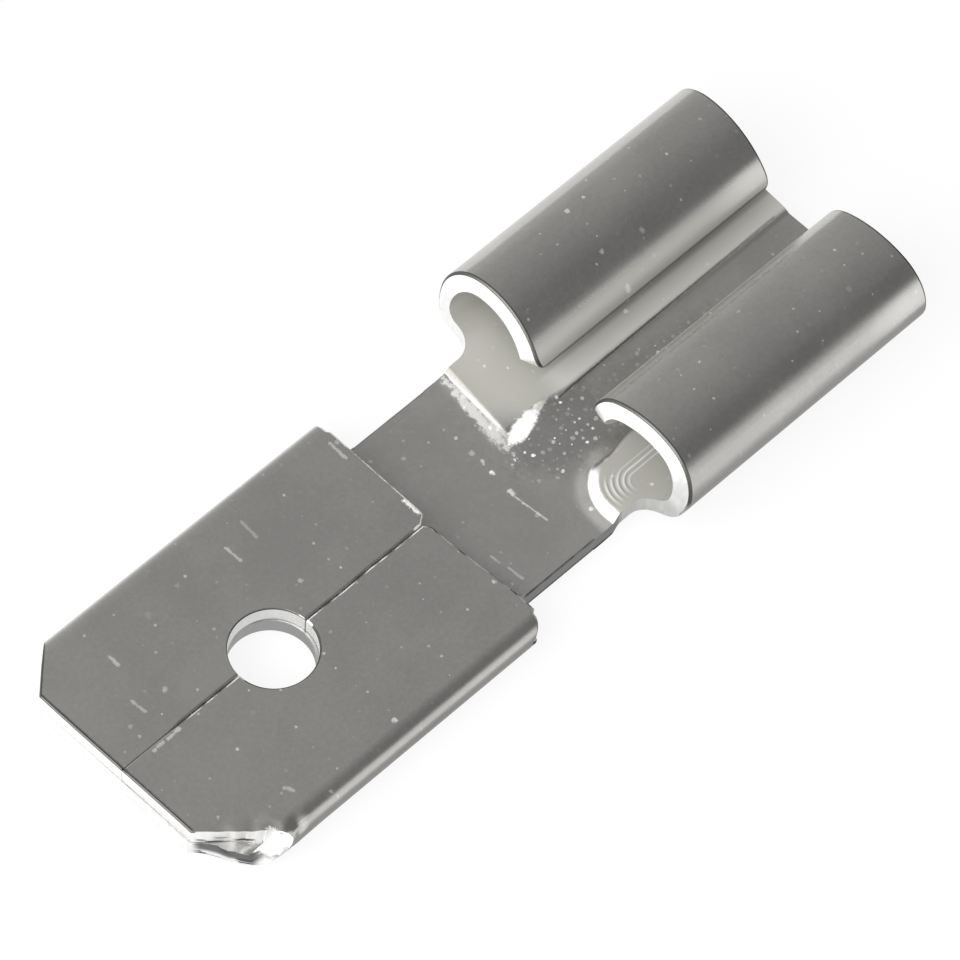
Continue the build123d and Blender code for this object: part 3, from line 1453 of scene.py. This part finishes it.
# Painted shade lines along the top edges of the tip and of the left chamfer.
TIP_OUTLINE = (
    Stroke((0.01, 2.24), (0.055, -1.86), 0.06),
    Stroke((0.01, 2.24), (0.93, 3.12), 0.045, 0.9),
)
NECK_MARKS_AND_GLINT = (
    Stroke((9.88, -0.55), (9.96, -1.4), 0.022, 0.4),
    Stroke((9.9, -0.45), (9.9, -0.55), 0.05, 0.6),
    Stroke((8.585, -1.26), (8.60, -1.45), 0.03, 0.35),
    Stroke((8.65, -1.66), (8.67, -2.02), 0.03, 0.3),
    Stroke((9.96, 0.10), (9.97, 0.07), 0.055, 0.9),
    Stroke((10.0, 0.41), (10.0, 0.39), 0.04, 0.5),
    # A painted highlight along the left ramp's crease.
    Stroke((10.88, 2.2), (10.72, 0.42), 0.028, 0.5),
)
SCUFFS = (
    Patch((10.67, 1.2), (0.95, 0.12), 84.0, 4.0, 0.6, 0.3),
    Patch((10.63, 0.7), (0.4, 0.16), 80.0, 3.5, 0.5, 0.4),
)
WHITE_PATCHES = (
    Patch((11.12, 0.42), (0.48, 0.18), 14.0, 1.4, 1.0),
    Patch((11.5, 0.52), (0.4, 0.08), 6.0, 1.4, 0.6),
)
TOE_PATCHES = (
    Patch((10.74, -1.95), (0.55, 0.16), 84.0, 1.8, 0.2, 0.5),
    Patch((11.0, -1.35), (0.35, 0.15), 45.0, 1.8, 0.2, 0.5),
)
ROUGH_PATCHES = (
    Patch((11.65, -0.15), (1.25, 0.85), -5.0, 0.7, 1.0, 0.35),
    Patch((13.9, -0.25), (2.2, 0.4), 0.0, 1.2, 0.6, 0.35),
)
# A painted shade line along the land's crease at the foot of the left wing.
LAND_CREASE = (Stroke((12.1, 0.43), (18.3, 0.5), 0.022),)
RIGHT_RING = Ring((11.88, -2.12), 0.87, 1.07)
LEAF_TOP = (0.7, 0.75)


@dataclass(frozen=True)
class Outside(TinPlate):
    """The plate on the outside of the fold: the blade's faces and the rolls' backs."""

    name: str = "tinned_brass"
    dull: Colour = (0.535, 0.525, 0.505)
    bright: Colour = (0.605, 0.595, 0.57)
    matt: Colour = (0.56, 0.55, 0.51)

    def wear_and_light(self, graph: Graph, place: Value, ragged: Value) -> WearAndLight:
        """Scratch the blade, dull the flanks of the rolls that face each other, paint shade low on
        the left roll's flank and along the tip's edges, and paint highlights on the rolls and the
        left leaf's rear edge.
        """
        x, y, z = graph.axes(place)
        marks = self.drawn(graph, place, ragged, BLADE_MARKS_AND_GLINT) * z.fade(*LEAF_TOP)
        frayed = y + ragged * 0.12
        left = frayed.fade(1.22, 0.98) * y.fade(0.0, 0.2)
        right = frayed.fade(-1.0, -0.9) * y.fade(0.0, -0.2) * 0.35
        rolled = z.fade(0.65, 0.75) * x.fade(10.5, 11.0)
        # Painted shade low on the left roll's inner flank, under its curled lip.
        lip = left * z.fade(1.12, 1.0) * rolled
        # Painted shade along the tip's top edges.
        outline = self.drawn(graph, place, ragged * 0.2, TIP_OUTLINE) * z.fade(*LEAF_TOP)
        # A painted highlight: a pale line along the right roll's inner edge.
        brow = y.fade(-0.74, -0.69) * y.fade(-0.5, -0.56) * z.fade(1.3, 1.4) * 0.4
        blob = graph.vector("DISTANCE", place, BLOB_CENTRE) + ragged * 0.15
        blob = blob.fade(BLOB_RADIUS, BLOB_RADIUS - 0.05)
        # Painted highlights: pale bands on the rolls near their rear ends.
        painted_shine = y.fade(1.25, 1.1) * y.fade(0.8, 0.9) + y.fade(-2.95, -3.1)
        painted_shine = painted_shine * z.fade(1.15, 1.3) * frayed.fade(5.0, 4.0) * x.fade(16.6, 18.2) * 0.45
        return WearAndLight(
            rubbed_and_highlit=marks.most(brow).most(blob).most(painted_shine),
            matted=(left + right) * rolled,
            dulled_and_shaded=lip.most(outline),
        )


@dataclass(frozen=True)
class Inside(TinPlate):
    """The plate on the inside of the fold: the floor, the wings and the rolls' hollows."""

    name: str = "tinned_inside"
    dull: Colour = (0.4, 0.392, 0.376)
    bright: Colour = (0.46, 0.452, 0.436)
    roughness: float = 0.3
    metallic: float = 0.85
    ripple_length: float = 0.118
    ripple_relief: float = 5.0

    def wear_and_light(self, graph: Graph, place: Value, ragged: Value) -> WearAndLight:
        """Rub the creases, dull the wings, darken the land's start, paint shade along the land's
        crease, paint light on the strip beside the left lip and on the upper hollows, paint
        highlights on the left ramp's crease and the ripples, and ripple the right wing.
        """
        x, y, z = graph.axes(place)
        plan = graph.vector("MULTIPLY", place, (1, 1, 0))
        low = z.fade(0.62, 0.56)
        marks = self.drawn(
            graph, place, ragged, NECK_MARKS_AND_GLINT + SCUFFS + WHITE_PATCHES + TOE_PATCHES
        )
        ring = RIGHT_RING.mask(graph, plan, ragged) * x.fade(11.6, 11.2)
        wings = z.fade(0.42, 0.47)
        rough = self.drawn(graph, place, ragged, ROUGH_PATCHES) * z.fade(0.43, 0.4)
        chips = self.scatter(graph, place, ragged, 6.0, 0.045, 0.1) * rough * 1.2
        # Painted shade along the land's crease.
        crease = self.drawn(graph, place, ragged, LAND_CREASE)
        # Painted light: the strip beside the left roll's lip and the upper hollows are made paler.
        paler = y.fade(0.45, 0.5) * y.fade(1.0, 0.88) * x.fade(11.9, 12.5) * 0.3
        paler = (paler + z.fade(0.75, 0.95) * 0.15) * wings
        radius = RIGHT_RING.radius(graph, plan)
        # The ripples are a bump, and their crests are also painted pale as highlights.
        wave = (radius * (2 * math.pi / self.ripple_length)).math("SINE")
        in_ripples = radius.fade(0.84, 0.76) * radius.fade(0.2, 0.3) * low * y.fade(-1.5, -1.75)
        return WearAndLight(
            rubbed_and_highlit=(marks * low).most(ring * low).most(chips).most(wave * in_ripples * 0.5).most(
                paler
            ),
            dulled_and_shaded=(rough * 0.28).most(crease * (ragged * 2 + 0.9)),
            matted=wings,
            relief=wave * in_ripples * self.ripple_relief,
        )


@dataclass(frozen=True)
class RolledEdge:
    """The rounded edge that shearing leaves, coloured near black as painted shade, plain tin where
    the seam is pressed shut, and pale where highlights are painted on it.
    """

    # Near-black colour that paints the shade these rounded edges show.
    dark: Colour = (0.11, 0.11, 0.105)
    # Pale colour of the painted highlights.
    pale: Colour = (0.85, 0.85, 0.83)
    plain: Colour = (0.57, 0.56, 0.54)
    roughness: float = 0.35

    def make(self) -> bpy.types.Material:
        """Make the material."""
        material, graph = new_material("rolled_edge")
        place = graph.millimetres()
        x, y, z = graph.axes(place)
        patchy = graph.noise(place, 2.5, 3.0).fade(0.35, 0.6)
        on_leaf = z.fade(0.6, 0.7)
        dash = y.fade(0.1, 0.2) * y.fade(0.7, 0.55)
        broken = patchy * 0.6 + y.fade(-0.2, 0.0) * 0.4
        # Painted highlights: along the leaves' rear edges, beside the seam, on the neck's edges and
        # on the rolls' lower front edges.
        leaf_end = on_leaf * x.fade(7.7, 7.8) * x.fade(8.5, 8.4) * broken.most(dash)
        seam = on_leaf * y.fade(0.0, -0.01) * y.fade(-0.2, -0.15) * x.fade(1.6, 1.8) * patchy
        neck = z.fade(0.3, 0.35) * z.fade(0.6, 0.5) * x.fade(8.15, 8.3) * patchy * 0.2
        low_roll = z.fade(1.1, 0.8) * x.fade(11.3, 11.5) * x.fade(14.0, 13.0) * 0.5
        rubbed_and_highlit = leaf_end.most(seam * x.fade(8.0, 7.9)).most(neck).most(low_roll)
        # Where the seam is pressed shut, the painted shade gives way to the plain tin colour.
        pressed_shut = on_leaf * y.fade(-0.2, -0.15) * y.fade(0.2, 0.15)
        pressed_shut = pressed_shut * (x.fade(1.6, 1.2) * 0.45 + 0.55)
        pressed_shut = pressed_shut * x.fade(0.06, 0.12) * x.fade(8.0, 7.9)
        dark = graph.mix(pressed_shut, self.dark, self.plain)
        shader = graph.node(
            "ShaderNodeBsdfPrincipled",
            None,
            {
                "Base Color": graph.mix(rubbed_and_highlit, dark, self.pale),
                "Metallic": 1 - rubbed_and_highlit * 0.6,
                "Roughness": self.roughness,
            },
        )
        graph.finish(shader)
        return material


@dataclass(frozen=True)
class ShearedEdge:
    """The cut edges of the sheet and the wall of the hole, bright and slightly torn, with painted
    shade on the lower layers, on the neck's cut sides and between the crushed corner's layers.
    """

    colour: Colour = (0.9, 0.9, 0.89)
    shade: Colour = (0.85, 0.85, 0.84)
    # Grey for painted shade on cut faces.
    grey: Colour = (0.42, 0.42, 0.415)
    # Near black for painted shade lines and for the crushed corner's torn streaks.
    dark: Colour = (0.1, 0.1, 0.1)
    roughness: float = 0.42

    def make(self) -> bpy.types.Material:
        """Make the material."""
        material, graph = new_material("sheared_edge")
        place = graph.millimetres()
        x, y, z = graph.axes(place)
        tear = graph.noise(graph.vector("MULTIPLY", place, (14, 14, 2.5)), 1.0, 3.0)
        layers = graph.noise(graph.vector("MULTIPLY", place, (2, 2, 11)), 1.0, 4.0)
        corner = x.fade(2.6, 2.2) * y.fade(-1.85, -2.0)
        hole = x.fade(2.7, 2.9) * x.fade(5.0, 4.8)
        neck = x.fade(8.1, 8.3) * x.fade(11.1, 10.9)
        # The lower layer at the crushed corner and at the hole gets a painted grey shade, and so do
        # the neck's cut sides.
        below = (corner * z.fade(0.1, 0.25) + hole).least(1.0) * z.fade(0.45, 0.38)
        colour = graph.mix(tear.fade(0.3, 0.7), self.shade, self.colour)
        colour = graph.mix(below.most(neck), colour, self.grey)
        # A painted shade line, near black, along the bottom of the neck's cut sides.
        colour = graph.mix(neck * z.fade(0.1, 0.06), colour, self.dark)
        torn = layers.fade(0.52, 0.6) * z.fade(0.6, 0.5) * y.fade(-2.95, -2.8)
        colour = graph.mix(corner * torn, colour, self.dark)
        # A painted shade line in the gap between the crushed corner's two layers.
        layer = corner * z.fade(0.42, 0.37) * z.fade(0.08, 0.2) * y.fade(-2.95, -2.8) * 0.8
        colour = graph.mix(layer, colour, self.dark)
        blob = graph.vector("DISTANCE", place, BLOB_CENTRE) + (layers - 0.5) * 0.45
        colour = graph.mix(blob.fade(BLOB_RADIUS, BLOB_RADIUS - 0.06), colour, self.colour)
        bump = graph.value(
            "ShaderNodeBump", None, {"Strength": 0.25, "Distance": 0.004 * MM, "Height": tear}
        )
        shader = graph.node(
            "ShaderNodeBsdfPrincipled",
            None,
            {
                "Base Color": colour,
                "Metallic": 1.0,
                "Roughness": self.roughness + tear * 0.12,
                "Normal": bump,
            },
        )
        graph.finish(shader)
        return material


@dataclass(frozen=True)
class Viewpoint:
    """The photograph's camera, in millimetres and degrees."""

    eye: tuple[float, float, float] = (-42.667, -45.216, 107.978)
    target: tuple[float, float, float] = (9.657, 0.127, 0.4)
    roll: float = 4.947
    focal_pixels: float = 6605.75
    image_side: int = 960
    sensor: float = 36.0

    def place(self) -> None:
        """Put the camera up and make it the scene's."""
        data = bpy.data.cameras.new("camera")
        data.sensor_width = self.sensor
        data.lens = self.sensor * self.focal_pixels / self.image_side
        data.clip_start = 0.001
        data.clip_end = 20
        camera = bpy.data.objects.new("camera", data)
        bpy.context.scene.collection.objects.link(camera)
        eye = Vector(self.eye) * MM
        look = (Vector(self.target) * MM - eye).to_track_quat("-Z", "Y").to_matrix().to_4x4()
        roll = Matrix.Rotation(math.radians(self.roll), 4, "Z")
        camera.matrix_world = Matrix.Translation(eye) @ look @ roll
        bpy.context.scene.camera = camera


@dataclass(frozen=True)
class Lamp:
    """A soft square lamp that points at the terminal."""

    name: str
    towards: tuple[float, float, float]
    distance: float
    side: float
    power: float

    def hang(self, target: Vector) -> None:
        """Hang the lamp and aim it.

        Args:
            target: The point it is aimed at, in metres.
        """
        data = bpy.data.lights.new(self.name, "AREA")
        data.shape = "SQUARE"
        data.size = self.side
        data.energy = self.power
        lamp = bpy.data.objects.new(self.name, data)
        bpy.context.scene.collection.objects.link(lamp)
        lamp.location = target + Vector(self.towards).normalized() * self.distance
        lamp.rotation_mode = "QUATERNION"
        lamp.rotation_quaternion = (target - lamp.location).to_track_quat("-Z", "Y")


@dataclass(frozen=True)
class Studio:
    """A white floor under a soft studio sky that is bright on one side."""

    floor_side: float = 6.0
    floor_gap: float = 0.00001
    floor_colour: Colour = (0.9, 0.9, 0.9)
    camera_glow: float = 0.88
    mirrored_left: float = 0.95
    mirrored_right: float = 0.95
    # Reflections see a painted shadow on the floor near the terminal's right side, and painted
    # light past its tip.
    mirrored_near: float = 0.45
    mirrored_ahead: float = 1.1
    sky_across: tuple[Point, ...] = (
        (-0.93, 0.95),
        (-0.88, 0.8),
        (-0.84, 0.42),
        (-0.75, 0.2),
        (-0.4, 0.21),
        (0.0, 0.3),
        (0.35, 0.37),
        (0.75, 0.44),
        (0.95, 0.6),
    )
    sky_along: tuple[Point, ...] = (
        (-0.45, 0.0),
        (-0.3, 0.05),
        (0.0, 0.28),
        (0.35, 0.8),
        (0.7, 1.3),
    )
    key: Lamp = Lamp("key", (-0.85, 0.05, 0.5), 0.5, 0.5, 3.0)

    def set_up(self) -> None:
        """Lay the floor, light the sky and hang the lamp."""
        self.lay_floor()
        self.light_sky()
        low, high = CAD_BOX
        self.key.hang((low + high) / 2)
        bpy.context.scene.view_settings.view_transform = "Standard"

    def lay_floor(self) -> None:
        """Lay a floor that the camera sees as white and reflections see with a painted shadow and
        painted light, with the real shadow kept.
        """
        bpy.ops.object.select_all(action="DESELECT")
        bpy.ops.mesh.primitive_plane_add(
            size=self.floor_side, location=(0, 0, -self.floor_gap)
        )
        floor = bpy.context.object
        floor.name = "floor"
        material, graph = new_material("floor")
        path = graph.node("ShaderNodeLightPath")
        mirrored = Value(graph, path.outputs["Is Glossy Ray"])
        mirrored = mirrored.most(Value(graph, path.outputs["Is Transmission Ray"]))
        seen = (Value(graph, path.outputs["Is Camera Ray"]) * self.camera_glow).most(mirrored)
        matt = graph.node("ShaderNodeBsdfDiffuse", None, {"Color": (*self.floor_colour, 1)})
        level = mirrored * (self.mirrored_level(graph) - 1) + 1
        glow = graph.node("ShaderNodeEmission", None, {"Color": level, "Strength": 1.0})
        mixed = {0: seen, 1: matt.outputs[0], 2: glow.outputs[0]}
        both = graph.node("ShaderNodeMixShader", None, mixed)
        graph.finish(both)
        floor.data.materials.append(material)

    def mirrored_level(self, graph: Graph) -> Value:
        """How bright the metal sees the floor: a painted shadow darkens it close to the terminal's
        right side, and painted light brightens it past the tip.
        """
        x, y, _ = graph.axes(graph.millimetres())
        _, half_width, _ = CAD_BOX[1] / MM
        close = y.fade(-half_width - 2.5, -half_width) * y.fade(2.0, -2.0) * x.fade(0.2, 1.6)
        plain = y.fade(-2.0, 2.0) * (self.mirrored_left - self.mirrored_right)
        plain = plain + self.mirrored_right
        ahead = x.fade(0.2, -0.4) * (self.mirrored_ahead - plain)
        return plain + ahead - close * (self.mirrored_right - self.mirrored_near)

    def light_sky(self) -> None:
        """Make the sky dim to the right, brighter to the left and brightest past the tip."""
        world = bpy.data.worlds.new("sky")
        bpy.context.scene.world = world
        world.use_nodes = True
        graph = Graph(world.node_tree)
        direction = graph.value("ShaderNodeTexCoord", output="Generated")
        across = self.slope(graph, direction, (0, 1, 0), self.sky_across)
        along = self.slope(graph, direction, (-1, 0, 0), self.sky_along)
        background = graph.node(
            "ShaderNodeBackground", None, {"Color": across + along, "Strength": 1.0}
        )
        graph.finish(background, "World")

    def slope(
        self, graph: Graph, direction: Value, towards: tuple, stops: tuple[Point, ...]
    ) -> Value:
        """Read a level of light from how far a direction points one way.

        Args:
            graph: The graph of the sky.
            direction: The direction looked in.
            towards: The way it is compared with.
            stops: Pairs of a share from -1 to 1 and the level there.

        Returns:
            The level of light.
        """
        share = graph.vector("DOT_PRODUCT", direction, towards)
        ramp = graph.node(
            "ShaderNodeValToRGB",
            {"stops": tuple((0.5 + 0.5 * at, (level,) * 3) for at, level in stops)},
            {0: share * 0.5 + 0.5},
        )
        return Value(graph, ramp.outputs[0])


def main() -> None:
    """Build every piece and report it."""
    logging.basicConfig(level=logging.INFO, format="%(name)s: %(message)s")
    piece = Terminal().build()
    for slot, finish in (
        (Slot.FACE, Outside()),
        (Slot.CUT, ShearedEdge()),
        (Slot.INSIDE, Inside()),
        (Slot.ROUND, RolledEdge()),
    ):
        piece.data.materials[slot.value] = finish.make()
    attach(piece, "root")
    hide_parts("terminal")
    log.info("%s: %d points", piece.name, len(piece.data.vertices))
    Studio().set_up()
    Viewpoint().place()


if __name__ == "__main__":
    main()
